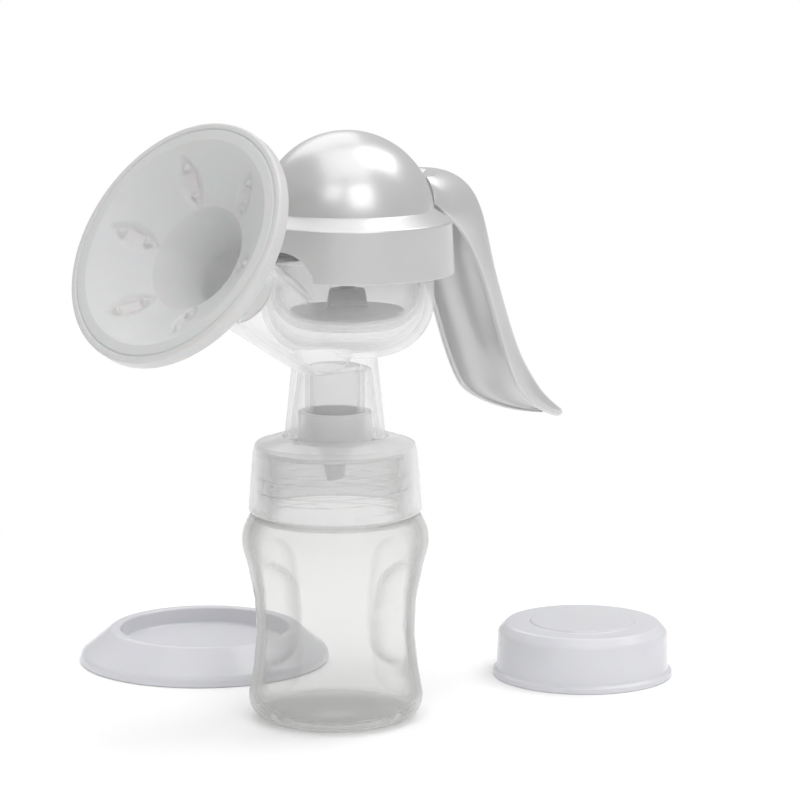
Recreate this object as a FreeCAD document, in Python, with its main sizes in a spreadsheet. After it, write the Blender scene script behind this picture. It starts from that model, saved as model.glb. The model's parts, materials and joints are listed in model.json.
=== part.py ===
import FreeCAD, Part
import math
import os
import Sketcher

# Manual breast pump with its bottle, bottle cap and flange cover.
# Millimetres, +Z up. The origin is the middle of the bottle's foot. The funnel points
# towards -X and the squeeze handle hangs down on the +X side.

Vector = FreeCAD.Vector
Rotation = FreeCAD.Rotation
Placement = FreeCAD.Placement

doc = FreeCAD.newDocument("breast_pump")
sheet = doc.addObject("Spreadsheet::Sheet", "Sizes")


# ---------------------------------------------------------------- sizes

class Size:
    """A length or angle that carries its number and the formula that gives it in the sheet."""

    def __init__(self, number, formula):
        self.number = float(number)
        self.formula = formula

    def __add__(self, other):
        other = as_size(other)
        return Size(self.number + other.number, "(%s + %s)" % (self.formula, other.formula))

    def __sub__(self, other):
        other = as_size(other)
        return Size(self.number - other.number, "(%s - %s)" % (self.formula, other.formula))

    def __mul__(self, other):
        other = as_size(other)
        return Size(self.number * other.number, "(%s * %s)" % (self.formula, other.formula))

    def __truediv__(self, other):
        other = as_size(other)
        return Size(self.number / other.number, "(%s / %s)" % (self.formula, other.formula))

    def __radd__(self, other):
        return as_size(other) + self

    def __rsub__(self, other):
        return as_size(other) - self

    def __rmul__(self, other):
        return as_size(other) * self

    def __neg__(self):
        return Size(-self.number, "(0 - %s)" % self.formula)


def as_size(value):
    """Turns a plain number into a Size."""
    if isinstance(value, Size):
        return value
    return Size(value, repr(float(value)))


def sine(angle):
    """Sine of a Size in degrees."""
    return Size(math.sin(math.radians(angle.number)), "sin(%s * 1 deg)" % angle.formula)


def cosine(angle):
    """Cosine of a Size in degrees."""
    return Size(math.cos(math.radians(angle.number)), "cos(%s * 1 deg)" % angle.formula)


next_row = 1


def driving(alias, number):
    """Writes one driving dimension in the sheet and returns it."""
    global next_row
    cell = "A%d" % next_row
    sheet.set(cell, repr(float(number)))
    sheet.setAlias(cell, alias)
    next_row += 1
    return Size(number, "Sizes.%s" % alias)


clearance = driving("clearance", 0.3)

# bottle
waist_radius = driving("waist_radius", 26.8)
belly_radius = driving("belly_radius", 31.0)
shoulder_height = driving("shoulder_height", 70.0)
neck_radius = driving("neck_radius", 24.9)
mouth_height = driving("mouth_height", 90.6)
bottle_wall = driving("bottle_wall", 1.5)
neck_wall = driving("neck_wall", 1.9)
foot_radius = driving("foot_radius", 22.0)
foot_recess = driving("foot_recess", 1.2)
foot_pad_radius = driving("foot_pad_radius", 6.0)
foot_wall = driving("foot_wall", 3.1)
grip_depth = driving("grip_depth", 3.8)
grip_length = driving("grip_length", 44.0)
grip_width = driving("grip_width", 17.4)
grip_height = driving("grip_height", 32.0)
thread_lead = driving("thread_lead", 4.7)
thread_depth = driving("thread_depth", 1.0)
thread_half_width = driving("thread_half_width", 0.65)

# screw ring
collar_wall = driving("collar_wall", 1.2)
collar_flare = driving("collar_flare", 1.7)

# pump body
pump_wall = driving("pump_wall", 2.0)
pump_neck_radius = driving("pump_neck_radius", 16.8)
pump_neck_top_radius = driving("pump_neck_top_radius", 13.8)
seal_height = driving("seal_height", 0.9)
tunnel_tilt = driving("tunnel_tilt", 31.0)
tunnel_height = driving("tunnel_height", 123.4)
tunnel_radius = driving("tunnel_radius", 11.6)
tunnel_start = driving("tunnel_start", -5.0)
funnel_length = driving("funnel_length", 86.1)
funnel_radius = driving("funnel_radius", 42.2)
throat_radius = driving("throat_radius", 18.0)
throat_depth = driving("throat_depth", 11.9)
tube_radius = driving("tube_radius", 9.2)
tube_depth = driving("tube_depth", 26.1)
tube_length = driving("tube_length", 12.0)
bowl_offset = driving("bowl_offset", 6.0)
bowl_radius = driving("bowl_radius", 29.0)
bowl_bottom = driving("bowl_bottom", 123.0)
bowl_rim = driving("bowl_rim", 158.0)
bowl_corner = driving("bowl_corner", 18.0)
drain_radius = driving("drain_radius", 10.0)
drain_bottom = driving("drain_bottom", 98.0)
drain_wall = driving("drain_wall", 1.7)

# soft parts
cushion_wall = driving("cushion_wall", 1.8)
diaphragm_wall = driving("diaphragm_wall", 1.4)
diaphragm_floor = driving("diaphragm_floor", 132.0)
diaphragm_floor_wall = driving("diaphragm_floor_wall", 2.5)
diaphragm_rim = driving("diaphragm_rim", 2.0)
valve_length = driving("valve_length", 17.0)

# stem
plate_radius = driving("plate_radius", 19.0)
plate_height = driving("plate_height", 137.0)
stem_post_radius = driving("stem_post_radius", 2.5)
stem_hub_radius = driving("stem_hub_radius", 6.0)
stem_hub_height = driving("stem_hub_height", 8.0)
stem_head_height = driving("stem_head_height", 2.6)

# cover
cover_wall = driving("cover_wall", 1.7)
cover_radius = driving("cover_radius", 35.9)
cover_bottom = driving("cover_bottom", 150.4)
cover_shoulder = driving("cover_shoulder", 167.8)
dome_radius = driving("dome_radius", 29.0)
dome_base = driving("dome_base", 171.6)
dome_top = driving("dome_top", 197.7)
notch_width = driving("notch_width", 32.0)
notch_height = driving("notch_height", 10.0)
slot_fit = driving("slot_fit", 0.8)
slot_height = driving("slot_height", 13.6)
slot_drop = driving("slot_drop", 6.2)

# handle
handle_width = driving("handle_width", 30.0)
handle_wall = driving("handle_wall", 2.4)
hinge_reach = driving("hinge_reach", 22.0)
hinge_height = driving("hinge_height", 173.0)
pin_radius = driving("pin_radius", 1.5)
pin_fit = driving("pin_fit", 0.05)
hub_half = driving("hub_half_length", 8.3)
fork_rise = driving("fork_rise", 2.4)
lug_width = driving("lug_width", 2.6)

# loose covers
cap_rim_radius = driving("cap_rim_radius", 31.7)
cap_height = driving("cap_height", 19.5)
cap_wall = driving("cap_wall", 1.6)
stand_radius = driving("stand_radius", 45.0)
stand_height = driving("stand_height", 12.0)
stand_wall = driving("stand_wall", 1.8)
stand_floor_height = driving("stand_floor_height", 6.0)
cap_x = driving("cap_x", 101.6)
cap_y = driving("cap_y", -24.4)
stand_x = driving("stand_x", 27.1)
stand_y = driving("stand_y", 90.8)

doc.recompute()


# ---------------------------------------------------------------- sketches and features

nodes = []


def new_body(label, keep=True):
    """Starts a body; a kept one is a piece of the pump and is written out."""
    body = doc.addObject("PartDesign::Body", label)
    body.Label = label
    if keep:
        nodes.append(body)
    return body


def origin_plane(body, role):
    """The body's own origin plane or axis with this role."""
    return [feature for feature in body.Origin.OriginFeatures if feature.Role == role][0]


def attach(feature, body, plane, shift=(0, 0, 0), axis=(0, 0, 1), turn=0):
    """Lays a feature on an origin plane, shifted and turned in the plane's own directions."""
    feature.AttachmentSupport = [(origin_plane(body, plane), "")]
    feature.MapMode = "FlatFace"
    shift = [as_size(value) for value in shift]
    turn = as_size(turn)
    corner = Vector(*[value.number for value in shift])
    feature.AttachmentOffset = Placement(corner, Rotation(Vector(*axis), turn.number))
    for letter, value in zip("xyz", shift):
        feature.setExpression("AttachmentOffset.Base.%s" % letter, value.formula)
    if turn.number:
        feature.setExpression("AttachmentOffset.Rotation.Angle", turn.formula)


def new_sketch(body, name, plane="XZ_Plane", shift=(0, 0, 0), axis=(0, 0, 1), turn=0):
    """An empty sketch on one of the body's origin planes."""
    sketch = body.newObject("Sketcher::SketchObject", name)
    attach(sketch, body, plane, shift, axis, turn)
    return sketch


def constrain(sketch, size, *words):
    """Adds a measured constraint and binds it to the sheet."""
    index = sketch.addConstraint(Sketcher.Constraint(*words, as_size(size).number))
    sketch.setExpression("Constraints[%d]" % index, as_size(size).formula)


def draw_outline(sketch, corners):
    """Draws a closed outline. Each corner is (x, y), or (x, y, radius) where it is rounded."""
    count = len(corners)
    points = [Vector(as_size(corner[0]).number, as_size(corner[1]).number, 0) for corner in corners]
    arrive = list(points)
    leave = list(points)
    rounds = {}
    for i, corner in enumerate(corners):
        if len(corner) == 2:
            continue
        radius = as_size(corner[2]).number
        back = (points[i - 1] - points[i]).normalize()
        ahead = (points[(i + 1) % count] - points[i]).normalize()
        half = back.getAngle(ahead) / 2
        arrive[i] = points[i] + back * (radius / math.tan(half))
        leave[i] = points[i] + ahead * (radius / math.tan(half))
        centre = points[i] + (back + ahead).normalize() * (radius / math.sin(half))
        turns_left = ahead.cross(back).z > 0
        first, last = (arrive[i], leave[i]) if turns_left else (leave[i], arrive[i])
        angles = [math.atan2(end.y - centre.y, end.x - centre.x) for end in (first, last)]
        rounds[i] = (Part.ArcOfCircle(Part.Circle(centre, Vector(0, 0, 1), radius), *angles), turns_left)
    for i in range(count):
        after = (i + 1) % count
        run = arrive[after] - leave[i]
        if run.dot(points[after] - points[i]) <= 0:
            raise RuntimeError("%s: the rounds meet between corners %d and %d" % (sketch.Name, i, after))
    lines = [sketch.addGeometry(Part.LineSegment(leave[i], arrive[(i + 1) % count]), False)
             for i in range(count)]
    for i, corner in enumerate(corners):
        mark = sketch.addGeometry(Part.Point(points[i]), True)
        constrain(sketch, corner[0], "DistanceX", -1, 1, mark, 1)
        constrain(sketch, corner[1], "DistanceY", -1, 1, mark, 1)
        before = lines[i - 1]
        if i not in rounds:
            sketch.addConstraint(Sketcher.Constraint("Coincident", before, 2, mark, 1))
            sketch.addConstraint(Sketcher.Constraint("Coincident", lines[i], 1, mark, 1))
            continue
        curve, turns_left = rounds[i]
        arc = sketch.addGeometry(curve, False)
        first, last = (1, 2) if turns_left else (2, 1)
        sketch.addConstraint(Sketcher.Constraint("PointOnObject", mark, 1, before))
        sketch.addConstraint(Sketcher.Constraint("PointOnObject", mark, 1, lines[i]))
        sketch.addConstraint(Sketcher.Constraint("Tangent", before, 2, arc, first))
        sketch.addConstraint(Sketcher.Constraint("Tangent", lines[i], 1, arc, last))
        constrain(sketch, corner[2], "Radius", arc)


def draw_circle(sketch, x, y, radius):
    """Draws a circle with its middle and radius bound to the sheet."""
    middle = Vector(as_size(x).number, as_size(y).number, 0)
    circle = sketch.addGeometry(Part.Circle(middle, Vector(0, 0, 1), as_size(radius).number), False)
    constrain(sketch, x, "DistanceX", -1, 1, circle, 3)
    constrain(sketch, y, "DistanceY", -1, 1, circle, 3)
    constrain(sketch, radius, "Radius", circle)


def finish_feature(body, feature, cuts):
    """Makes the feature the body's tip and sees that it adds or removes material."""
    before = body.Shape.Volume if body.Tip and not body.Shape.isNull() else 0.0
    body.Tip = feature
    doc.recompute()
    change = body.Shape.Volume - before
    if (change > -1e-6) if cuts else (change < 1e-6):
        raise RuntimeError("%s changes %s by %.3f" % (feature.Name, body.Label, change))
    return feature


def revolve(body, name, corners, cuts=False, **place):
    """Turns an outline about its sketch's upright axis."""
    sketch = new_sketch(body, name + "_outline", **place)
    draw_outline(sketch, corners)
    feature = body.newObject("PartDesign::Groove" if cuts else "PartDesign::Revolution", name)
    feature.Profile = sketch
    feature.ReferenceAxis = (sketch, ["V_Axis"])
    feature.Angle = 360
    return finish_feature(body, feature, cuts)


def extrude(body, name, draw, length, cuts=False, both_ways=True, reverse=False, **place):
    """Pads or pockets what draw(sketch) puts on a new sketch."""
    sketch = new_sketch(body, name + "_outline", **place)
    draw(sketch)
    feature = body.newObject("PartDesign::Pocket" if cuts else "PartDesign::Pad", name)
    feature.Profile = sketch
    feature.Length = as_size(length).number
    feature.setExpression("Length", as_size(length).formula)
    feature.SideType = "Symmetric" if both_ways else "One side"
    feature.Reversed = reverse
    return finish_feature(body, feature, cuts)


def repeat_around(body, name, feature, count):
    """Repeats a feature around the body's upright axis."""
    pattern = body.newObject("PartDesign::PolarPattern", name)
    pattern.Originals = [feature]
    pattern.Axis = (origin_plane(body, "Z_Axis"), [""])
    pattern.Angle = 360
    pattern.Occurrences = count
    body.Tip = pattern
    doc.recompute()
    return pattern


def ellipsoid(body, name, radii, cuts, **place):
    """Adds or removes an ellipsoid with its radii along x, y and z."""
    feature = body.newObject("PartDesign::%sEllipsoid" % ("Subtractive" if cuts else "Additive"), name)
    attach(feature, body, **place)
    for key, radius in zip(("Radius2", "Radius3", "Radius1"), radii):
        setattr(feature, key, as_size(radius).number)
        feature.setExpression(key, as_size(radius).formula)
    return finish_feature(body, feature, cuts)


def thread_ridge(body, name, root, crest, bottom, height):
    """Adds a right-hand screw ridge that runs from its root radius to its crest radius."""
    sketch = new_sketch(body, name + "_section")
    root_half = thread_half_width
    crest_half = thread_half_width - 0.3
    draw_outline(sketch, [(root, bottom - root_half), (crest, bottom - crest_half),
                          (crest, bottom + crest_half), (root, bottom + root_half)])
    ridge = body.newObject("PartDesign::AdditiveHelix", name)
    ridge.Profile = sketch
    ridge.ReferenceAxis = (sketch, ["V_Axis"])
    ridge.Mode = 0
    ridge.Pitch = thread_lead.number
    ridge.setExpression("Pitch", thread_lead.formula)
    ridge.Height = as_size(height).number
    ridge.setExpression("Height", as_size(height).formula)
    return finish_feature(body, ridge, False)


# ---------------------------------------------------------------- bottle

shoulder_radius = belly_radius - 2.4
thread_crest = neck_radius + thread_depth
collar_bore = thread_crest + clearance + 0.1


def bottle_skin(inset, foot_lift, neck):
    """Corners of the waisted bottle, drawn a given wall thickness inside its outer skin."""
    waist = waist_radius - 2.2 - inset
    belly = belly_radius + 1.4 - inset
    return [
        (belly_radius - inset - 0.1, foot_lift, 7.5 - inset),
        (waist, shoulder_height / 2, 80 + inset),
        (belly, shoulder_height - 7.5, 14 - inset),
        (shoulder_radius - inset, shoulder_height - 0.4 - inset, 1.2),
        (neck, shoulder_height + 0.2 - inset),
    ]


def bottle_grips(body, wall):
    """Four oval finger grips, dented into a skin that lies a wall thickness further in."""
    grip = ellipsoid(body, "grip", (
        grip_depth * 1.75 + wall, grip_width * 0.565 + wall, grip_length * 0.565 + wall
    ), True, plane="XY_Plane", shift=(waist_radius + grip_depth * 0.75, 0, grip_height))
    repeat_around(body, "grips", grip, 4)


bottle_outside = new_body("bottle_outside", keep=False)
revolve(bottle_outside, "skin", [
    (0, 0), (foot_pad_radius, 0, 0.5), (foot_pad_radius + 2, foot_recess, 0.5),
    (foot_radius - 3.5, foot_recess, 0.5), (foot_radius - 2, 0, 0.5),
] + bottle_skin(Size(0, "0.0"), Size(0, "0.0"), neck_radius) + [
    (neck_radius, mouth_height, 0.6), (0, mouth_height)
])
bottle_grips(bottle_outside, 0)
thread_ridge(bottle_outside, "neck_thread", neck_radius - 0.4, thread_crest,
             shoulder_height + 4, mouth_height - shoulder_height - 6)

bottle_inside = new_body("bottle_inside", keep=False)
revolve(bottle_inside, "cavity", [
    (0, foot_wall)
] + bottle_skin(bottle_wall, foot_wall, neck_radius - neck_wall) + [
    (neck_radius - neck_wall, mouth_height + 1), (0, mouth_height + 1)
])
bottle_grips(bottle_inside, bottle_wall)

bottle = doc.addObject("Part::Cut", "bottle")
bottle.Base = bottle_outside
bottle.Tool = bottle_inside
nodes.append(bottle)


# ---------------------------------------------------------------- seal and screw ring

seal_top = mouth_height + seal_height
neck_seal = new_body("neck_seal")
revolve(neck_seal, "ring", [
    (neck_radius - neck_wall + 0.1, mouth_height),
    (neck_radius - 0.6, mouth_height),
    (neck_radius - 0.6, seal_top),
    (neck_radius - neck_wall + 0.1, seal_top),
])

collar_bottom = shoulder_height + 0.4
collar_top_radius = collar_bore + collar_wall
collar_hole = pump_neck_radius + 0.4 + clearance
collar_edge = seal_top + 2.0
collar_crown = collar_edge + 3.2

collar = new_body("collar")
revolve(collar, "ring", [
    (collar_bore, collar_bottom, 0.6),
    (collar_top_radius + collar_flare, collar_bottom, 1.6),
    (collar_top_radius + 0.1, seal_top - 1),
    (collar_top_radius - 0.7, collar_edge + 0.3, 1.5),
    (collar_hole, collar_crown, 0.5),
    (collar_hole, collar_crown - collar_wall - 0.3),
    (collar_bore, collar_edge - 1.3, 0.6),
])
thread_ridge(collar, "ring_thread", collar_bore + 0.4, neck_radius + clearance + 0.1,
             shoulder_height + 4 - thread_lead / 2 + thread_lead,
             mouth_height - shoulder_height - 6 - thread_lead)


# ---------------------------------------------------------------- pump body

axis_turn = 90 - tunnel_tilt
foot_flange_radius = neck_radius - 0.6


def funnel_face(depth):
    """Rim, throat and root corners of the funnel, a given depth behind the cushion's face."""
    rim = (funnel_radius - 7.4 + depth * 0.303, funnel_length - 0.7 - depth)
    throat = (throat_radius + depth * 0.736, funnel_length - throat_depth - depth * 0.712)
    root = (tube_radius + depth, funnel_length - tube_depth - depth * 0.285)
    return rim, throat, root


tilted = {"shift": (0, tunnel_height, 0), "turn": axis_turn}
over_bowl = {"shift": (bowl_offset, 0, 0)}
inner_depth = cushion_wall + clearance
outer_depth = inner_depth + pump_wall
rim_front = funnel_length - 0.7 - inner_depth
rim_back = funnel_length - 0.7 - outer_depth
rim_radius = funnel_radius - 1.7

pump_body = new_body("pump_body")
revolve(pump_body, "neck", [
    (0, seal_top),
    (foot_flange_radius, seal_top),
    (foot_flange_radius, seal_top + 1.0),
    (pump_neck_radius + 0.4, collar_crown - 2.0, 0.5),
    (pump_neck_radius + 0.4, collar_crown + 0.3, 0.3),
    (pump_neck_radius, collar_crown + 0.9),
    (pump_neck_top_radius, bowl_bottom + 3),
    (0, bowl_bottom + 3),
])
revolve(pump_body, "bowl", [
    (0, bowl_bottom),
    (bowl_radius, bowl_bottom, bowl_corner),
    (bowl_radius, bowl_rim - 2.5, 0.5),
    (bowl_radius + 3.4, bowl_rim - 1.8, 0.4),
    (bowl_radius + 3.4, bowl_rim, 0.4),
    (0, bowl_rim),
], **over_bowl)
rim, throat, root = funnel_face(outer_depth)
revolve(pump_body, "funnel", [
    (0, tunnel_start),
    (tunnel_radius, tunnel_start, tunnel_radius - 1),
    (root[0], root[1], 6),
    (throat[0], throat[1], 5),
    (rim[0], rim[1], 2),
    (rim_radius, rim_back, 0.5),
    (rim_radius, rim_front, 0.5),
    (0, rim_front),
], **tilted)
revolve(pump_body, "bowl_hollow", [
    (0, bowl_bottom + pump_wall),
    (bowl_radius - pump_wall, bowl_bottom + pump_wall, bowl_corner - pump_wall),
    (bowl_radius - pump_wall, bowl_rim + 1),
    (0, bowl_rim + 1),
], cuts=True, **over_bowl)
rim, throat, root = funnel_face(inner_depth)
revolve(pump_body, "tunnel_bore", [
    (0, tunnel_start + pump_wall),
    (tunnel_radius - pump_wall, tunnel_start + pump_wall, tunnel_radius - pump_wall - 1),
    (root[0], root[1], 6),
    (throat[0], throat[1], 4),
    (rim[0], rim[1], 1),
    (rim[0] + 0.7, rim[1] + 2),
    (0, rim[1] + 2),
], cuts=True, **tilted)
revolve(pump_body, "neck_hollow", [
    (0, seal_top - 1),
    (pump_neck_radius - 1.6, seal_top - 1),
    (pump_neck_radius - 1.6, collar_crown),
    (pump_neck_top_radius - 1.6, bowl_bottom - 4, 1),
    (drain_radius, bowl_bottom - 4, 0.5),
    (drain_radius, drain_bottom),
    (0, drain_bottom),
], cuts=True)
revolve(pump_body, "drain_bore", [
    (0, drain_bottom - 1),
    (drain_radius - drain_wall, drain_bottom - 1),
    (drain_radius - drain_wall, bowl_bottom - 3),
    (0, bowl_bottom - 3),
], cuts=True)


# ---------------------------------------------------------------- soft parts and stem

valve_top = drain_bottom + 6.5
valve = new_body("valve")
revolve(valve, "cup", [
    (drain_radius + 0.1, drain_bottom - 1.2),
    (drain_radius + 0.1, valve_top),
    (drain_radius + 2.5, valve_top, 0.6),
    (drain_radius + 2.5, drain_bottom - 4, 1),
    (5.5, drain_bottom - 6),
    (2.6, drain_bottom - valve_length, 0.8),
    (1.0, drain_bottom - valve_length),
    (4.2, drain_bottom - 4.6),
    (drain_radius - 2, drain_bottom - 3),
    (drain_radius - 2, drain_bottom - 1.2),
])

cushion = new_body("cushion")
rim, throat, root = funnel_face(Size(0, "0.0"))
rim_behind, throat_behind, root_behind = funnel_face(cushion_wall)
revolve(cushion, "liner", [
    (root[0], root[1] - tube_length),
    (root_behind[0] - 0.2, root[1] - tube_length),
    (root_behind[0], root_behind[1], 6),
    (throat_behind[0], throat_behind[1], 4),
    (rim_behind[0], rim_behind[1]),
    (rim_radius + clearance, rim_behind[1]),
    (rim_radius + clearance, rim_back),
    (funnel_radius, rim_back, 0.6),
    (funnel_radius, funnel_length, 1.2),
    (rim[0] + 1.2, funnel_length, 0.4),
    (rim[0], rim[1], 0.4),
    (throat[0], throat[1], 3),
    (root[0], root[1], 6),
], **tilted)

diaphragm_radius = bowl_radius - pump_wall - 1.3
diaphragm = new_body("diaphragm")
revolve(diaphragm, "cup", [
    (0, diaphragm_floor),
    (diaphragm_radius, diaphragm_floor, 12),
    (diaphragm_radius, bowl_rim),
    (bowl_radius + 2, bowl_rim),
    (bowl_radius + 2, bowl_rim + diaphragm_rim),
    (diaphragm_radius - diaphragm_wall, bowl_rim + diaphragm_rim),
    (diaphragm_radius - diaphragm_wall, diaphragm_floor + diaphragm_floor_wall, 10.5),
    (0, diaphragm_floor + diaphragm_floor_wall),
], **over_bowl)

fork_height = hinge_height + fork_rise
stem_foot = diaphragm_floor + diaphragm_floor_wall + clearance
stem = new_body("stem")
revolve(stem, "stem", [
    (0, stem_foot),
    (stem_hub_radius + 4, stem_foot),
    (plate_radius, plate_height - 0.6, 0.4),
    (plate_radius, plate_height + 1.2, 0.4),
    (stem_hub_radius + 1, plate_height + 1.6, 1),
    (stem_hub_radius, plate_height + stem_hub_height, 1),
    (stem_post_radius, plate_height + stem_hub_height, 0.6),
    (stem_post_radius, fork_height + clearance),
    (stem_post_radius + 2.8, fork_height + clearance, 0.4),
    (stem_post_radius + 2.8, fork_height + stem_head_height, 1),
    (0, fork_height + stem_head_height),
], **over_bowl)


# ---------------------------------------------------------------- cover

cover_top_radius = cover_radius - 1.0
dome_sphere = ((dome_top - dome_base) * (dome_top - dome_base) + dome_radius * dome_radius) / (
    2 * (dome_top - dome_base))
dome_centre = dome_top - dome_sphere
hinge_x = bowl_offset + hinge_reach
slot_half = handle_width / 2 + slot_fit
notch_half = notch_width / 2
notch_top = cover_bottom + notch_height
slot_bottom = cover_shoulder - slot_drop
slot_top = dome_base + slot_height

cover = new_body("cover")
revolve(cover, "skirt", [
    (0, cover_bottom),
    (cover_radius, cover_bottom, 0.5),
    (cover_top_radius, cover_shoulder, 1.0),
    (dome_radius, dome_base),
    (0, dome_base),
], **over_bowl)
ellipsoid(cover, "dome", (dome_sphere, dome_sphere, dome_sphere), False,
          plane="XY_Plane", shift=(bowl_offset, 0, dome_centre))
revolve(cover, "skirt_hollow", [
    (0, cover_bottom - 30),
    (cover_radius - cover_wall, cover_bottom - 30),
    (cover_radius - cover_wall, cover_bottom),
    (cover_top_radius - cover_wall, cover_shoulder - cover_wall, 0.6),
    (dome_radius - cover_wall, dome_base - cover_wall),
    (0, dome_base - cover_wall),
], cuts=True, **over_bowl)
ellipsoid(cover, "dome_hollow", (dome_sphere - cover_wall, dome_sphere - cover_wall,
                                 dome_sphere - cover_wall), True,
          plane="XY_Plane", shift=(bowl_offset, 0, dome_centre))
clamp_bottom = bowl_rim + diaphragm_rim + clearance
revolve(cover, "clamp_rib", [
    (bowl_radius - 0.4, clamp_bottom),
    (bowl_radius + 2, clamp_bottom),
    (bowl_radius + 2, cover_shoulder + 0.2),
    (bowl_radius - 0.4, dome_base - 1.8),
], **over_bowl)


def one_outline(corners):
    """Something for extrude() to draw: one closed outline."""
    return lambda sketch: draw_outline(sketch, corners)


extrude(cover, "tunnel_notch", one_outline([
    (-notch_half, cover_bottom - 4), (notch_half, cover_bottom - 4),
    (notch_half, notch_top, notch_half - 4), (-notch_half, notch_top, notch_half - 4),
]), cover_radius + 20, cuts=True, both_ways=False, plane="YZ_Plane")
extrude(cover, "handle_slot", one_outline([
    (-slot_half, slot_bottom), (slot_half, slot_bottom),
    (slot_half, slot_top, slot_half - 1.5), (-slot_half, slot_top, slot_half - 1.5),
]), 30, cuts=True, both_ways=False, reverse=True, plane="YZ_Plane", shift=(0, 0, hinge_x - 2))

lug_radius = dome_sphere - cover_wall / 2 - 1.8


def on_dome(degrees):
    """A point that lies in the dome's wall, this far up from its middle height."""
    angle = Size(degrees, repr(float(degrees)))
    return bowl_offset + lug_radius * cosine(angle), dome_centre + lug_radius * sine(angle)


def lug(name, shift):
    """One lug that hangs from the dome beside the handle's hub and holds the hinge pin."""
    extrude(cover, name, one_outline([
        (hinge_x - 4.4, hinge_height - 3.8), (hinge_x + 3.6, hinge_height - 3.8, 2),
        on_dome(12), on_dome(30), on_dome(48),
    ]), lug_width, shift=(0, 0, shift))


lug("lug_left", hub_half + clearance + lug_width / 2)
lug("lug_right", -(hub_half + clearance + lug_width / 2))
extrude(cover, "pin_holes", lambda sketch: draw_circle(
    sketch, hinge_x, hinge_height, pin_radius + pin_fit), 60, cuts=True)


# ---------------------------------------------------------------- handle and hinge pin

doc.recompute()

handle_pin = new_body("handle_pin")
extrude(handle_pin, "pin", lambda sketch: draw_circle(sketch, hinge_x, hinge_height, pin_radius),
        2 * (hub_half + clearance + lug_width))

# Down the squeeze lever: where its two side edges lie, where its back lies, and how wide
# it is there as a share of its full width. Places are given from the hinge.
lever_stations = [
    ((8.0, -1.0), (8.5, 10.9), 0.80),
    ((14.7, -6.2), (20.3, 9.3), 1.00),
    ((20.4, -10.9), (33.5, 4.0), 1.00),
    ((29.5, -23.7), (42.2, -15.6), 1.00),
    ((35.5, -36.0), (46.8, -31.0), 1.00),
    ((39.9, -47.0), (52.6, -44.5), 1.00),
    ((44.2, -57.0), (57.8, -54.5), 1.00),
    ((49.0, -66.0), (63.0, -61.7), 1.00),
    ((57.7, -74.5), (71.5, -71.7), 0.98),
    ((69.0, -79.6), (78.5, -77.2), 0.86),
    ((78.5, -82.2), (83.6, -80.2), 0.62),
    ((84.4, -82.9), (87.2, -81.2), 0.30),
]


def trough_section(station):
    """Closed wire of the lever's half-round wall at one station."""
    edge, back, share = station
    half = sheet.handle_width / 2 * share
    foot = Vector(edge[0], 0, edge[1])
    across = Vector(back[0] - edge[0], 0, back[1] - edge[1])
    depth = across.Length
    across.normalize()
    wall = sheet.handle_wall

    def half_round(width, reach):
        steps = [math.pi * i / 8 for i in range(9)]
        curve = Part.BSplineCurve()
        curve.interpolate([foot + across * (reach * math.sin(step)) + Vector(0, width * math.cos(step), 0)
                           for step in steps])
        return curve

    outer = half_round(half, depth)
    inner = half_round(half - wall * min(1, half / 9), max(depth - wall, 0.8))
    ends = [(outer.StartPoint, inner.StartPoint), (inner.EndPoint, outer.EndPoint)]
    rounds = [Part.Arc(first, (first + second) / 2 - across * (wall * 0.45), second).toShape()
              for first, second in ends]
    inner_edge = inner.toShape()
    return Part.Wire(Part.__sortEdges__([outer.toShape(), rounds[0], inner_edge, rounds[1]]))


def side_plate(corners, low, high):
    """A flat piece of the lever: an outline seen from the side, between two widths."""
    loop = [Vector(x, low, z) for x, z in corners]
    return Part.Face(Part.makePolygon(loop + loop[:1])).extrude(Vector(0, high - low, 0))


def handle_shape():
    """The squeeze lever about its hinge: trough, arm, hub and lifting fork."""
    trough = Part.makeLoft([trough_section(station) for station in lever_stations], True, False)
    hub_length = 2 * sheet.hub_half_length
    hub_radius = 3 * sheet.pin_radius
    hub = Part.makeCylinder(hub_radius, hub_length, Vector(0, -hub_length / 2, 0), Vector(0, 1, 0))
    arm = side_plate([(-2.0, 4.0), (8.3, 10.2), (12.5, 9.0), (12.5, 5.5), (3.6, -2.6)],
                     -sheet.hub_half_length, sheet.hub_half_length)
    reach = -sheet.hinge_reach
    gap = sheet.stem_post_radius + 2 * sheet.clearance
    rise = sheet.fork_rise
    tine = [(reach - 1, rise), (reach + 8, rise), (0, 4.0), (0, -4.0), (reach + 8, -1.4), (reach - 1, -0.6)]
    tines = [side_plate(tine, low, low + 3.4) for low in (gap, -gap - 3.4)]
    bore = Part.makeCylinder(sheet.pin_radius + sheet.pin_fit, hub_length + 2,
                             Vector(0, -hub_length / 2 - 1, 0), Vector(0, 1, 0))
    return trough.multiFuse([arm, hub] + tines).removeSplitter().cut(bore)


handle = doc.addObject("Part::Feature", "handle")
handle.Shape = handle_shape()
handle.Placement = Placement(Vector(hinge_x.number, 0, hinge_height.number), Rotation())
nodes.append(handle)


# ---------------------------------------------------------------- loose covers

def place(body, x, y):
    """Sets a loose piece down beside the pump."""
    body.Placement = Placement(Vector(x.number, y.number, 0), Rotation())
    body.setExpression("Placement.Base.x", x.formula)
    body.setExpression("Placement.Base.y", y.formula)


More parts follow.
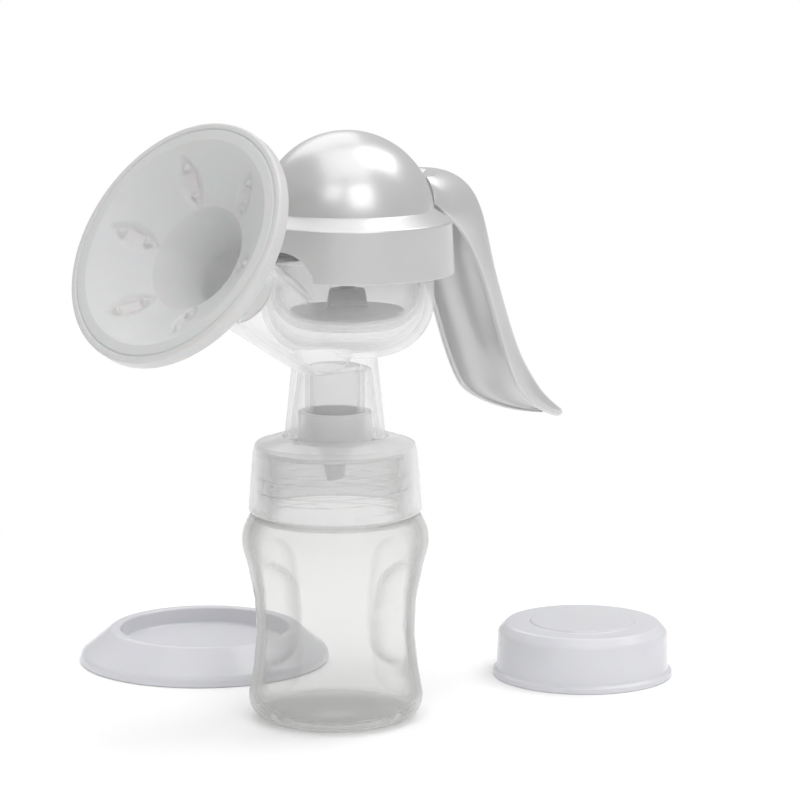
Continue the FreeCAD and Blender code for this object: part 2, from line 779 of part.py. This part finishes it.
bottle_cap = new_body("bottle_cap")
cap_bore = collar_top_radius + collar_flare + clearance
revolve(bottle_cap, "cap", [
    (cap_bore, 0),
    (cap_rim_radius, 0, 0.6),
    (cap_rim_radius, 1.9, 0.6),
    (cap_rim_radius - 1.3, 2.8, 0.6),
    (cap_rim_radius - 1.8, cap_height - 3.6, 2.0),
    (cap_rim_radius - 4.6, cap_height - 0.7, 1.5),
    (18.8, cap_height - 0.7, 0.4),
    (18.2, cap_height, 0.3),
    (0, cap_height),
    (0, cap_height - cap_wall),
    (cap_rim_radius - 5.4, cap_height - 0.7 - cap_wall, 1.0),
    (cap_bore - 0.4, cap_height - 5.0, 0.8),
])
place(bottle_cap, cap_x, cap_y)

flange_cover = new_body("flange_cover")
recess = cap_rim_radius - 1.3
revolve(flange_cover, "cover", [
    (stand_radius - stand_wall, 0),
    (stand_radius, 0, 0.7),
    (stand_radius - 0.5, 3.2, 3),
    (recess + 3.2, stand_height, 2.2),
    (recess, stand_height, 0.9),
    (recess - 0.8, stand_floor_height, 1),
    (0, stand_floor_height),
    (0, stand_floor_height - stand_wall),
    (recess + 1.0, stand_floor_height - stand_wall, 0.8),
    (recess + 1.8, stand_height - stand_wall, 0.4),
    (recess + 2.8, stand_height - stand_wall, 0.4),
    (stand_radius - stand_wall - 0.6, 2.6, 1.5),
])
place(flange_cover, stand_x, stand_y)


# ---------------------------------------------------------------- check and write

doc.recompute()
for item in doc.Objects:
    if "Invalid" in item.State or "Error" in item.State:
        raise RuntimeError("%s failed: %s" % (item.Name, item.State))

os.makedirs("parts", exist_ok=True)
for node in nodes:
    if node.Shape.isNull() or not node.Shape.isValid():
        raise RuntimeError("%s has no valid shape" % node.Label)
    node.Shape.exportStep("parts/%s.step" % node.Label)
    box = node.Shape.BoundBox
    print("%-14s solids %d volume %9.1f  x %.2f %.2f  y %.2f %.2f  z %.2f %.2f" % (
        node.Label, len(node.Shape.Solids), node.Shape.Volume,
        box.XMin, box.XMax, box.YMin, box.YMax, box.ZMin, box.ZMax))
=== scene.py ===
import json
import math

import bpy
from mathutils import Matrix, Vector


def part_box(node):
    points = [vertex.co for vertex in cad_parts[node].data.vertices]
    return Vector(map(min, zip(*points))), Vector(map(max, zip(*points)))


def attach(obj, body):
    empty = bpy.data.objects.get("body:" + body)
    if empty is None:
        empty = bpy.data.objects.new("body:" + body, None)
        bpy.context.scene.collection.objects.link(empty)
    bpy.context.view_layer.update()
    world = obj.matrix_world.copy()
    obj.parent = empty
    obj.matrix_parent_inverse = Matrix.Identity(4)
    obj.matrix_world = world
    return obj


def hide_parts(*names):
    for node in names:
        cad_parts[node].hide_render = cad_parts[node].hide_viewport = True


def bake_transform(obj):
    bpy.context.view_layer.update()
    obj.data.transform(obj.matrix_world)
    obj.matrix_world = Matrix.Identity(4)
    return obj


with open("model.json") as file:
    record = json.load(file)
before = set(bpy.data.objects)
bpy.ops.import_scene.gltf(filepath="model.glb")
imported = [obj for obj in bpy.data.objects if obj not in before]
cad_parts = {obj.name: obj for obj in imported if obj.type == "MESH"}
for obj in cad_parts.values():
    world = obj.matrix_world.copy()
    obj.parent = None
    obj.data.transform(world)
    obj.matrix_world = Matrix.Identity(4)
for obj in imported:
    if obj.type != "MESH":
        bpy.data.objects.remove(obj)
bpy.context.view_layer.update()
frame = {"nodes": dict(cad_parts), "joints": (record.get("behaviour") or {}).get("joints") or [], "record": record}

bl_info = {
    "name": "Manual breast pump",
    "version": (1, 0, 0),
    "blender": (4, 5, 0),
    "location": "View3D > Sidebar > Pump",
    "description": "Finishes, soft parts and studio for a hand-squeezed breast pump",
    "category": "Object",
}

MM = 0.001

# Sizes in millimetres that are used in more than one place.
NECK_RADIUS = 24.9      # outside of the bottle's neck
NECK_BORE = 23.0        # inside of the bottle's neck
THREAD_START = 74       # height where the neck thread crosses the +X side
THROAT = (18.0, -11.9)  # where the liner's cone begins: radius, and place behind the lip's face
RIM = (34.8, -0.7)      # where the liner's cone meets its lip
LIP_RADIUS = 42.1       # outer edge of the liner's lip

# How far from the pump, in metres, the paper floor starts and ends its fade to white.
FADE_START = 0.16
FADE_END = 0.34


# ---------------------------------------------------------------- small helpers

def linear(hex_colour, alpha=1.0):
    """An sRGB hex colour as linear red, green, blue and alpha."""
    channels = [int(hex_colour[i:i + 2], 16) / 255 for i in (1, 3, 5)]
    return [c / 12.92 if c <= 0.04045 else ((c + 0.055) / 1.055) ** 2.4 for c in channels] + [alpha]


def new_material(name):
    """A node material with only its output and shader; returns it, its tree and the shader."""
    material = bpy.data.materials.new(name)
    material.use_nodes = True
    tree = material.node_tree
    shader = [node for node in tree.nodes if node.type == "BSDF_PRINCIPLED"][0]
    return material, tree, shader


def add_node(tree, kind, links=(), **settings):
    """Adds a node, sets its properties and inputs, and links (socket, source) pairs to it."""
    node = tree.nodes.new(kind)
    for key, value in settings.items():
        if hasattr(node, key):
            setattr(node, key, value)
        else:
            node.inputs[key.replace("_", " ")].default_value = value
    for socket, source in links:
        tree.links.new(source, node.inputs[socket])
    return node


def set_inputs(shader, **values):
    """Sets a shader's own sockets; underscores stand for spaces."""
    for key, value in values.items():
        shader.inputs[key.replace("_", " ")].default_value = value


def moulded(name, colour, shade, roughness, grain_mm, bump, **sockets):
    """A moulded plastic or rubber: slow colour drift, uneven gloss and a fine skin."""
    material, tree, shader = new_material(name)
    place = add_node(tree, "ShaderNodeTexCoord")
    drift = add_node(tree, "ShaderNodeTexNoise", [("Vector", place.outputs["Object"])],
                     Scale=1 / (22 * MM), Detail=2.0)
    tint = add_node(tree, "ShaderNodeMix", [("Factor", drift.outputs["Fac"])], data_type="RGBA")
    tint.inputs[6].default_value = linear(colour)
    tint.inputs[7].default_value = linear(shade)
    tree.links.new(tint.outputs[2], shader.inputs["Base Color"])
    skin = add_node(tree, "ShaderNodeTexNoise", [("Vector", place.outputs["Object"])],
                    Scale=1 / (grain_mm * MM), Detail=3.0)
    gloss = add_node(tree, "ShaderNodeMapRange", [("Value", drift.outputs["Fac"])])
    gloss.inputs["To Min"].default_value = roughness * 0.8
    gloss.inputs["To Max"].default_value = roughness * 1.2
    tree.links.new(gloss.outputs["Result"], shader.inputs["Roughness"])
    relief = add_node(tree, "ShaderNodeBump", [("Height", skin.outputs["Fac"])],
                      Strength=bump, Distance=0.05 * MM)
    tree.links.new(relief.outputs["Normal"], shader.inputs["Normal"])
    set_inputs(shader, **sockets)
    return material


def see_through(name, colour, shade, roughness, grain_mm, middle, rim, **sockets):
    """A clear or milky moulding: thin to look through face on and denser towards its outline."""
    material = moulded(name, colour, shade, roughness, grain_mm, 0.06, **sockets)
    tree = material.node_tree
    shader = [node for node in tree.nodes if node.type == "BSDF_PRINCIPLED"][0]
    slant = add_node(tree, "ShaderNodeLayerWeight", Blend=0.5)
    density = add_node(tree, "ShaderNodeMapRange", [("Value", slant.outputs["Facing"])],
                       interpolation_type="SMOOTHSTEP")
    density.inputs["From Min"].default_value = 0.25
    density.inputs["To Min"].default_value = middle
    density.inputs["To Max"].default_value = rim
    tree.links.new(density.outputs["Result"], shader.inputs["Alpha"])
    return material


def dress(node, material):
    """Gives a CAD node's object its material."""
    thing = frame["nodes"][node]
    thing.data.materials.clear()
    thing.data.materials.append(material)


def finished(settings):
    """The materials of the pump, made once."""
    return {
        # Clear moulded polypropylene: faintly grey wall, thin sharp highlights, denser outline.
        "clear": see_through("clear_moulded_pp", settings.clear_colour, settings.clear_shade, 0.08, 1.5,
                             0.13, 0.80, IOR=1.49),
        # Natural polypropylene of the pump body and stem: milky, see-through, soft broad highlights.
        "milky": see_through("natural_moulded_pp", "#ffffff", "#f7f7f7", 0.18, 1.2,
                             0.15, 0.55, IOR=1.49),
        # Lightly smoke-tinted polypropylene of the screw ring: pale grey wall that shows its thread.
        "smoke": see_through("smoke_moulded_pp", "#f4f4f4", "#ececec", 0.14, 1.0,
                             0.19, 0.75, IOR=1.49),
        # Clear silicone of the diaphragm: soft, faint and satin.
        "clear_silicone": see_through("clear_moulded_silicone", "#ededee", "#e4e4e5", 0.30, 0.8,
                                      0.10, 0.45, IOR=1.41),
        # Moulded silicone: milky, satin, with light creeping into its edges.
        "silicone": moulded("moulded_silicone", "#cfd0d0", "#c8c9c9", 0.34, 0.8, 0.12, IOR=1.41,
                            Subsurface_Weight=0.25, Subsurface_Scale=2 * MM),
        # White silicone of the valve: half see-through where it is thin, satin.
        "valve": see_through("white_moulded_silicone", "#ffffff", "#f8f8f8", 0.38, 0.8,
                             0.40, 0.80, IOR=1.41),
        # Pearl-pigmented ABS: satin silver-grey that brightens where it faces the light.
        "pearl": moulded("pearl_moulded_abs", settings.pearl_colour, settings.pearl_shade,
                         0.33, 0.6, 0.06, IOR=1.53, Metallic=0.55, Coat_Weight=0.30, Coat_Roughness=0.07),
        # White polypropylene of the loose covers: glossy, dense white.
        "white": moulded("white_moulded_pp", "#d9d9dd", "#d1d1d6", 0.20, 1.0, 0.08, IOR=1.49,
                         Subsurface_Weight=0.15, Subsurface_Scale=2 * MM),
        # Ground stainless steel pin.
        "steel": moulded("ground_stainless_steel", "#c9cacc", "#a9abae", 0.28, 0.3, 0.3, Metallic=1.0),
    }


# ---------------------------------------------------------------- modelling helpers

def rounded(corners):
    """Points of an outline whose corners (x, z, radius) are turned into arcs; radius 0 stays sharp."""
    points = []
    count = len(corners)
    for i, (x, z, radius) in enumerate(corners):
        here = Vector((x, z))
        if radius == 0:
            points.append(here)
            continue
        back = (Vector(corners[i - 1][:2]) - here).normalized()
        ahead = (Vector(corners[(i + 1) % count][:2]) - here).normalized()
        half = back.angle(ahead) / 2
        centre = here + (back + ahead).normalized() * (radius / math.sin(half))
        start = here + back * (radius / math.tan(half)) - centre
        sweep = start.angle_signed(here + ahead * (radius / math.tan(half)) - centre)
        steps = max(3, round(abs(math.degrees(sweep)) / 9))
        points += [centre + Matrix.Rotation(-sweep * k / steps, 2) @ start for k in range(steps + 1)]
    return points


def lathe(name, outline, steps=96):
    """Extrudes one vertex along an outline (in millimetres) and spins it about the Z axis."""
    bpy.ops.object.select_all(action="DESELECT")
    bpy.ops.mesh.primitive_plane_add(size=MM)
    piece = bpy.context.object
    piece.name = name
    bpy.ops.object.mode_set(mode="EDIT")
    bpy.ops.mesh.select_mode(type="VERT")
    bpy.ops.mesh.select_all(action="SELECT")
    bpy.ops.mesh.merge(type="CENTER")
    here = Vector((0, 0, 0))
    for number, point in enumerate(outline):
        there = Vector((point[0] * MM, 0, point[1] * MM))
        if number == 0:
            bpy.ops.transform.translate(value=there - here)
        else:
            bpy.ops.mesh.extrude_vertices_move(TRANSFORM_OT_translate={"value": there - here})
        here = there
    bpy.ops.mesh.select_all(action="SELECT")
    bpy.ops.mesh.spin(steps=steps, angle=math.tau, center=(0, 0, 0), axis=(0, 0, 1))
    bpy.ops.mesh.select_all(action="SELECT")
    bpy.ops.mesh.remove_doubles(threshold=0.002 * MM)
    bpy.ops.mesh.normals_make_consistent(inside=False)
    bpy.ops.object.mode_set(mode="OBJECT")
    bpy.ops.object.shade_smooth_by_angle(angle=math.radians(32))
    return piece


def closed(outline):
    """The outline with its first point again at its end."""
    return list(outline) + [outline[0]]


def stepped(points, pitch):
    """The outline with more points, so that none lie further apart than the pitch."""
    finer = []
    for first, second in zip(points, points[1:]):
        count = max(1, math.ceil((Vector(second) - Vector(first)).length / pitch))
        finer += [Vector(first).lerp(Vector(second), k / count) for k in range(count)]
    return finer + [Vector(points[-1])]


def press(piece, name, weigh, strength):
    """Moves the piece's surface along its normals by strength times what weigh(vertex) gives."""
    group = piece.vertex_groups.new(name=name)
    for vertex in piece.data.vertices:
        weight = weigh(vertex)
        if weight > 0:
            group.add([vertex.index], min(weight, 1.0), "REPLACE")
    push = piece.modifiers.new(name, "DISPLACE")
    push.vertex_group = name
    push.strength = strength
    push.mid_level = 0.0
    bpy.context.view_layer.objects.active = piece
    bpy.ops.object.modifier_apply(modifier=name)
    piece.vertex_groups.clear()


def settle(piece, spot, tilt=0.0):
    """Turns the piece about Y, moves it to its spot and applies both to its mesh."""
    piece.rotation_euler = (0, tilt, 0)
    piece.location = spot
    bpy.ops.object.select_all(action="DESELECT")
    piece.select_set(True)
    bpy.context.view_layer.objects.active = piece
    bpy.ops.object.transform_apply(location=True, rotation=True, scale=True)


def put_on(piece, material, body, *nodes):
    """Gives a new piece its material and body, and lets it stand for CAD nodes."""
    piece.data.materials.clear()
    piece.data.materials.append(material)
    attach(piece, body)
    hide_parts(*nodes)


materials = {}


# ---------------------------------------------------------------- settings

class PumpFinish(bpy.types.PropertyGroup):
    """Colours of the plastics."""
    clear_colour: bpy.props.StringProperty(
        name="Clear", description="Tint of the clear bottle", default="#cdcdcb")
    clear_shade: bpy.props.StringProperty(
        name="Clear, darker", description="Slow drift of the clear tint", default="#c4c4c2")
    pearl_colour: bpy.props.StringProperty(
        name="Pearl", description="Colour of the cover and handle", default="#d3d2d2")
    pearl_shade: bpy.props.StringProperty(
        name="Pearl, darker", description="Slow drift of the pearl colour", default="#c9c8c8")


class PumpBottleSizes(bpy.types.PropertyGroup):
    """Sizes of the bottle's grips and thread."""
    grip_depth: bpy.props.FloatProperty(
        name="Grip depth", description="How deep a finger grip is dented", default=2.6 * MM, unit="LENGTH")
    grip_length: bpy.props.FloatProperty(
        name="Grip length", description="Height of a finger grip", default=45 * MM, unit="LENGTH")
    grip_width: bpy.props.FloatProperty(
        name="Grip width", description="Width of a finger grip", default=17.4 * MM, unit="LENGTH")
    grip_middle: bpy.props.FloatProperty(
        name="Grip height", description="Height of the grips' middle", default=35 * MM, unit="LENGTH")
    thread_lead: bpy.props.FloatProperty(
        name="Thread lead", description="Rise of the neck thread in one turn", default=4.7 * MM,
        unit="LENGTH")


class PumpSoftSizes(bpy.types.PropertyGroup):
    """Sizes of the soft parts."""
    petal_rise: bpy.props.FloatProperty(
        name="Petal rise", description="How far a massage petal stands out of the liner",
        default=2.0 * MM, unit="LENGTH")
    petal_turn: bpy.props.FloatProperty(
        name="Petal turn", description="Angle of the first petal from the top", default=math.radians(24),
        subtype="ANGLE")
    petal_count: bpy.props.IntProperty(
        name="Petals", description="Massage petals around the liner", default=6)


# ---------------------------------------------------------------- operators

class PUMP_OT_hard_parts(bpy.types.Operator):
    """Give the moulded parts of the pump their finish"""
    bl_idname = "pump.hard_parts"
    bl_label = "Finish hard parts"

    def execute(self, context):
        materials.update(finished(context.scene.pump_finish))
        for node, key in (
                ("collar", "smoke"), ("pump_body", "milky"), ("stem", "milky"),
                ("cover", "pearl"), ("handle", "pearl"), ("handle_pin", "steel"),
                ("bottle_cap", "white"), ("flange_cover", "white")):
            dress(node, materials[key])
        return {"FINISHED"}


class PUMP_OT_bottle(bpy.types.Operator):
    """Model the waisted bottle with its soft finger grips and its neck thread"""
    bl_idname = "pump.bottle"
    bl_label = "Bottle"

    def execute(self, context):
        sizes = context.scene.pump_bottle
        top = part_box("bottle")[1][2] / MM
        foot = rounded([(0, 0, 0), (6, 0, 0.5), (8, 1.2, 0.5), (18.5, 1.2, 0.5), (20, 0, 0.5),
                        (30.9, 0, 0)])[:-1]
        outer = rounded([(20, 0, 0), (30.9, 0, 7.5), (24.6, 35, 80), (32.4, 62.5, 14),
                         (28.6, 69.6, 1.2), (NECK_RADIUS, 70.2, 0)])[1:]
        inner = rounded([(0, 3.1, 0), (29.4, 3.1, 6.0), (23.1, 35, 81.5), (30.9, 62.5, 12.5),
                         (27.1, 68.1, 1.2), (NECK_BORE, 68.7, 0)])
        outline = foot + stepped(outer, 1.0) + stepped([outer[-1], (NECK_RADIUS, top - 0.5)], 0.35)
        outline += [(NECK_RADIUS - 0.3, top), (NECK_BORE + 0.3, top)]
        outline += stepped([(NECK_BORE, top - 0.4), inner[-1]], 4.0)
        outline += stepped(inner[::-1], 1.0)
        piece = lathe("grip_bottle", outline, steps=200)
        press(piece, "grips_outside", lambda vertex: self.grip(vertex, sizes, 1), -sizes.grip_depth)
        press(piece, "grips_inside", lambda vertex: self.grip(vertex, sizes, -1), sizes.grip_depth)
        press(piece, "neck_thread", lambda vertex: self.thread(vertex, sizes, top), 1.0 * MM)
        bpy.ops.object.shade_smooth_by_angle(angle=math.radians(40))
        put_on(piece, materials["clear"], "bottle", "bottle")
        return {"FINISHED"}

    def grip(self, vertex, sizes, side):
        """How far into a stadium-shaped grip the vertex lies, on the outside (1) or inside (-1)."""
        place = vertex.co
        radius = math.hypot(place.x, place.y)
        if radius < 20 * MM or (vertex.normal.x * place.x + vertex.normal.y * place.y) * side <= 0:
            return 0
        half = sizes.grip_width / 2
        turn = math.atan2(place.y, place.x) / (math.tau / 4)
        beside = (turn - round(turn)) * (math.tau / 4) * radius
        beyond = max(abs(place.z - sizes.grip_middle) - sizes.grip_length / 2 + half, 0)
        return 1 - (beside * beside + beyond * beyond) / (half * half)

    def thread(self, vertex, sizes, top):
        """How near the vertex lies to the crest of the right-hand screw ridge."""
        place = vertex.co
        if abs(math.hypot(place.x, place.y) - NECK_RADIUS * MM) > 0.05 * MM:
            return 0
        turns = (place.z - THREAD_START * MM) / sizes.thread_lead - math.atan2(place.y, place.x) / math.tau
        away = abs(turns - round(turns)) * sizes.thread_lead / MM
        ends = min(place.z / MM - 72.5, top - 2.0 - place.z / MM)
        return min(max((0.85 - away) / 0.4, 0), 1) * min(max(ends, 0), 1)


class PUMP_OT_cushion(bpy.types.Operator):
    """Model the massage liner with its petals and its lip over the funnel's rim"""
    bl_idname = "pump.cushion"
    bl_label = "Massage liner"

    def execute(self, context):
        soft = context.scene.pump_soft
        joint = [joint for joint in frame["joints"] if joint["name"] == "cushion_pull"][0]
        mouth = [mount for mount in frame["record"]["mounts"] if mount["name"] == "funnel_mouth"][0]
        throat = Vector(THROAT)
        run = Vector(RIM) - throat
        cone = [throat + run * (k / 26) for k in range(2, 25)]
        face = rounded([(9.2, -38.1, 0.3), (9.2, -26.1, 6), (*THROAT, 2.0),
                        (cone[0].x, cone[0].y, 0)])[:-1]
        lip = rounded([(cone[-1].x, cone[-1].y, 0), (*RIM, 0.5), (36.0, 0.0, 0.8),
                       (39.2, 0.0, 0.3), (39.6, -0.6, 0.25), (40.1, 0.0, 0.3), (LIP_RADIUS, 0.0, 1.0),
                       (LIP_RADIUS, -4.7, 0.6), (40.9, -4.7, 0.3), (40.8, -2.5, 0.2), (35.4, -2.5, 0.4),
                       (19.3, -13.2, 3.0), (11.0, -26.6, 6), (10.8, -38.1, 0.3)])[1:]
        piece = lathe("massage_liner", closed(face + cone + lip), steps=264)
        press(piece, "petal_edges", lambda vertex: self.petal(vertex, soft, throat, run, 1.0), -1.1 * MM)
        press(piece, "petal_pads", lambda vertex: self.petal(vertex, soft, throat, run, 0.72),
              soft.petal_rise)
        axis = Vector(joint["axis"])
        settle(piece, mouth["pos_m"], math.atan2(axis.x, axis.z))
        put_on(piece, materials["silicone"], "cushion", "cushion")
        return {"FINISHED"}

    def petal(self, vertex, soft, throat, run, share):
        """How far inside a leaf of this share of the full size a vertex of the cone's face lies."""
        across = run.normalized()
        facing = Vector((-across.y, across.x))
        radius = math.hypot(vertex.co.x, vertex.co.y) / MM
        offset = Vector((radius, vertex.co.z / MM)) - throat
        if abs(offset.dot(facing)) > 1.0 or vertex.normal.z < 0.2:
            return 0
        along = (offset.dot(across) - 9.0) / (9.0 * share)
        gap = math.tau / soft.petal_count
        turn = (math.atan2(vertex.co.y, vertex.co.x) - soft.petal_turn) / gap
        beside = (turn - round(turn)) * gap * radius / (4.6 * share)
        if abs(along) >= 1:
            return 0
        inside = 1 - abs(beside) / (1 - along * along)
        return min(max(inside, 0) * 2.2, 1) * (1 - along * along) ** 0.5


class PUMP_OT_diaphragm(bpy.types.Operator):
    """Model the soft cup whose rim is clamped under the cover; it is not attached to the stem, so its floor stays
    still
    """
    bl_idname = "pump.diaphragm"
    bl_label = "Diaphragm"

    def execute(self, context):
        low, high = (Vector(corner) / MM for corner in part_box("diaphragm"))
        middle = (low + high) / 2
        floor = low.z
        outer = 25.7
        points = rounded([(0, floor, 0), (outer, floor, 12), (outer, high.z - 2, 0.6),
                          (31, high.z - 2, 0.4), (31, high.z, 0.4), (24.3, high.z, 0.4),
                          (24.3, floor + 2.5, 10.5), (0, floor + 2.5, 0)])
        piece = lathe("diaphragm_cup", points, steps=128)
        settle(piece, (middle.x * MM, middle.y * MM, 0))
        piece.data.materials.append(materials["clear_silicone"])
        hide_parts("diaphragm")
        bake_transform(piece)
        return {"FINISHED"}


class PUMP_OT_valve_and_seal(bpy.types.Operator):
    """Model the duckbill valve and the flat neck seal"""
    bl_idname = "pump.valve_and_seal"
    bl_label = "Valve and seal"

    def execute(self, context):
        low, high = (Vector(corner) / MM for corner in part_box("valve"))
        top = high.z
        points = closed(rounded([
            (10.1, top - 7.7, 0), (10.1, top, 0.2), (12.4, top, 0.6), (12.4, top - 10.4, 1.0),
            (5.5, top - 12.5, 1.5), (2.6, low.z, 0.7), (1.0, low.z, 0.2), (4.2, top - 11.1, 1.0),
            (8.0, top - 9.5, 0.5), (8.0, top - 7.7, 0.2)]))
        valve = lathe("duckbill_valve", points, steps=96)
        self.flatten_bill(valve, top - 12.5, low.z)
        put_on(valve, materials["valve"], "valve", "valve")
        low, high = (Vector(corner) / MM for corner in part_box("neck_seal"))
        seal = lathe("flat_seal", closed(rounded([
            (23.1, low.z, 0.2), (24.3, low.z, 0.2), (24.3, high.z, 0.2), (23.1, high.z, 0.2)])), steps=128)
        put_on(seal, materials["silicone"], "bottle", "neck_seal")
        return {"FINISHED"}

    def flatten_bill(self, valve, start, tip):
        """Squeezes the lower cone into a flat-sided bill."""
        for vertex in valve.data.vertices:
            down = (start - vertex.co.z / MM) / (start - tip)
            if down > 0:
                vertex.co.y *= 1 - 0.55 * min(down, 1)
                vertex.co.x *= 1 + 0.5 * min(down, 1)


class PUMP_OT_studio(bpy.types.Operator):
    """Set up the floor, the soft lights and the camera"""
    bl_idname = "pump.studio"
    bl_label = "Studio"

    def execute(self, context):
        scene = context.scene
        bpy.ops.object.select_all(action="DESELECT")
        bpy.ops.mesh.primitive_plane_add(size=12, location=(0, 0, 0))
        floor = context.object
        floor.name = "floor"
        floor.data.materials.append(self.paper())
        for name, turn, rise, reach, size, power in (
                ("front", -25, 35, 1.7, 0.9, 6), ("side", 70, 58, 1.8, 1.0, 8),
                ("top", -45, 85, 1.7, 1.6, 9), ("rim", 150, 45, 1.8, 1.2, 5),
                ("window", -69, 41, 1.3, 0.40, 1.2)):
            self.lamp(name, turn, rise, reach, size, power)
        world = bpy.data.worlds.new("studio")
        world.use_nodes = True
        back = [node for node in world.node_tree.nodes if node.type == "BACKGROUND"][0]
        back.inputs["Color"].default_value = (1, 1, 1, 1)
        ray = add_node(world.node_tree, "ShaderNodeLightPath")
        seen = add_node(world.node_tree, "ShaderNodeMath", [(0, ray.outputs["Is Camera Ray"]),
                                                           (1, ray.outputs["Is Transmission Ray"])],
                        operation="MAXIMUM")
        level = add_node(world.node_tree, "ShaderNodeMapRange", [("Value", seen.outputs[0])])
        level.inputs["To Min"].default_value = 0.55
        level.inputs["To Max"].default_value = 1.0
        world.node_tree.links.new(level.outputs["Result"], back.inputs["Strength"])
        scene.world = world
        self.camera(scene)
        scene.view_settings.view_transform = "Standard"
        return {"FINISHED"}

    def paper(self):
        """Matt white paper sweep that keeps the shadows and fades to white far away."""
        material, tree, shader = new_material("matt_white_paper")
        place = add_node(tree, "ShaderNodeTexCoord")
        fibre = add_node(tree, "ShaderNodeTexNoise", [("Vector", place.outputs["Object"])],
                         Scale=900.0, Detail=2.0)
        relief = add_node(tree, "ShaderNodeBump", [("Height", fibre.outputs["Fac"])],
                          Strength=0.02, Distance=0.1 * MM)
        tree.links.new(relief.outputs["Normal"], shader.inputs["Normal"])
        set_inputs(shader, Base_Color=linear("#ffffff"), Roughness=0.9)
        reach = add_node(tree, "ShaderNodeVectorMath", [(0, place.outputs["Object"])], operation="LENGTH")
        far = add_node(tree, "ShaderNodeMapRange", [("Value", reach.outputs["Value"])],
                       interpolation_type="SMOOTHSTEP")
        far.inputs["From Min"].default_value = FADE_START
        far.inputs["From Max"].default_value = FADE_END
        ray = add_node(tree, "ShaderNodeLightPath")
        seen = add_node(tree, "ShaderNodeMath", [(0, ray.outputs["Is Camera Ray"]),
                                                 (1, ray.outputs["Is Glossy Ray"])], operation="MAXIMUM")
        seen = add_node(tree, "ShaderNodeMath", [(0, seen.outputs[0]),
                                                 (1, ray.outputs["Is Transmission Ray"])], operation="MAXIMUM")
        share = add_node(tree, "ShaderNodeMath", [(0, seen.outputs[0]), (1, far.outputs["Result"])],
                         operation="MULTIPLY")
        glow = add_node(tree, "ShaderNodeEmission", Strength=1.0)
        output = [node for node in tree.nodes if node.type == "OUTPUT_MATERIAL"][0]
        sheet = add_node(tree, "ShaderNodeMixShader", [(0, share.outputs[0]), (1, shader.outputs[0]),
                                                       (2, glow.outputs[0])])
        tree.links.new(sheet.outputs[0], output.inputs["Surface"])
        return material

    def lamp(self, name, turn, rise, reach, size, power):
        """One soft square lamp aimed at the middle of the pump."""
        turn, rise = math.radians(turn), math.radians(rise)
        middle = Vector((0, 0, 0.1))
        way = Vector((math.sin(turn) * math.cos(rise), -math.cos(turn) * math.cos(rise), math.sin(rise)))
        data = bpy.data.lights.new(name, "AREA")
        data.size = size
        data.energy = power
        lamp = bpy.data.objects.new(name, data)
        lamp.location = middle + way * reach
        lamp.rotation_euler = way.to_track_quat("Z", "Y").to_euler()
        bpy.context.scene.collection.objects.link(lamp)

    def camera(self, scene):
        """A long lens, a little above the pump, from between the funnel and the front."""
        azimuth = math.radians(-46.6)
        pitch = math.radians(9.378)
        yaw = math.radians(1.108)
        back = Vector((math.sin(azimuth), -math.cos(azimuth), 0))
        right = Vector((math.cos(azimuth), math.sin(azimuth), 0))
        ahead = (right * math.sin(yaw) - back * math.cos(yaw)) * math.cos(pitch)
        ahead.z = -math.sin(pitch)
        data = bpy.data.cameras.new("camera")
        data.sensor_width = 36
        data.lens = 153.2
        camera = bpy.data.objects.new("camera", data)
        camera.location = back * 1.120 + Vector((0, 0, 0.293))
        camera.rotation_euler = (-ahead).to_track_quat("Z", "Y").to_euler()
        scene.collection.objects.link(camera)
        scene.camera = camera


class PUMP_PT_panel(bpy.types.Panel):
    """Buttons for the pump"""
    bl_idname = "PUMP_PT_panel"
    bl_label = "Breast pump"
    bl_space_type = "VIEW_3D"
    bl_region_type = "UI"
    bl_category = "Pump"

    def draw(self, context):
        for operator in OPERATORS:
            self.layout.operator(operator.bl_idname)


OPERATORS = (PUMP_OT_hard_parts, PUMP_OT_bottle, PUMP_OT_cushion, PUMP_OT_diaphragm, PUMP_OT_valve_and_seal,
             PUMP_OT_studio)
CLASSES = (PumpFinish, PumpBottleSizes, PumpSoftSizes) + OPERATORS + (PUMP_PT_panel,)


def register():
    """Registers the classes and hangs the settings on the scene."""
    for item in CLASSES:
        bpy.utils.register_class(item)
    bpy.types.Scene.pump_finish = bpy.props.PointerProperty(type=PumpFinish)
    bpy.types.Scene.pump_bottle = bpy.props.PointerProperty(type=PumpBottleSizes)
    bpy.types.Scene.pump_soft = bpy.props.PointerProperty(type=PumpSoftSizes)


def unregister():
    """Takes the settings and classes away again."""
    del bpy.types.Scene.pump_soft
    del bpy.types.Scene.pump_bottle
    del bpy.types.Scene.pump_finish
    for item in reversed(CLASSES):
        bpy.utils.unregister_class(item)


def main():
    """Builds the looks around the frame."""
    register()
    bpy.ops.pump.hard_parts()
    bpy.ops.pump.bottle()
    bpy.ops.pump.cushion()
    bpy.ops.pump.diaphragm()
    bpy.ops.pump.valve_and_seal()
    bpy.ops.pump.studio()


if __name__ == "__main__":
    main()
